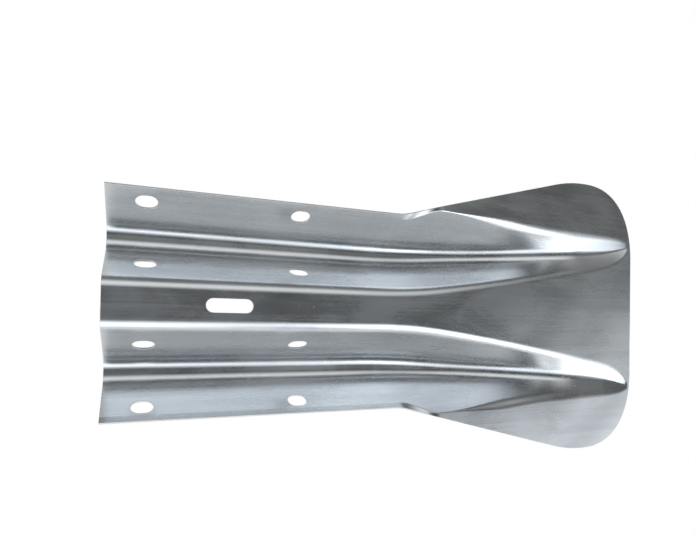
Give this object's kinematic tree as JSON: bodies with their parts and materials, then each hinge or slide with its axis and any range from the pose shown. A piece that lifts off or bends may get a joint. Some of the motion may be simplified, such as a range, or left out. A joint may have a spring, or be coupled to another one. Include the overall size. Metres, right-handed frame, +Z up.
{
  "type": "guardrail end terminal",
  "caption": "Flared end terminal for a two-wave road guardrail: one pressed steel sheet with slotted splice holes whose waves fade out into a wide flat nose.",
  "frame": {"origin": "centre of the post slot, on the back (post side) face of the middle web", "axes": "+X runs along the rail from the splice end to the flared nose, +Z is up across the rail, +Y faces the traffic, the way the waves stand out"},
  "size_m": [0.916, 0.083, 0.482],
  "materials": {
    "galvanised_steel": "satin bare-metal sheen with fine lengthwise brushing, light scratches and scuffs"
  },
  "bodies": {
    "root": {"terminal_plate": "galvanised_steel"}
  },
  "joints": []
}
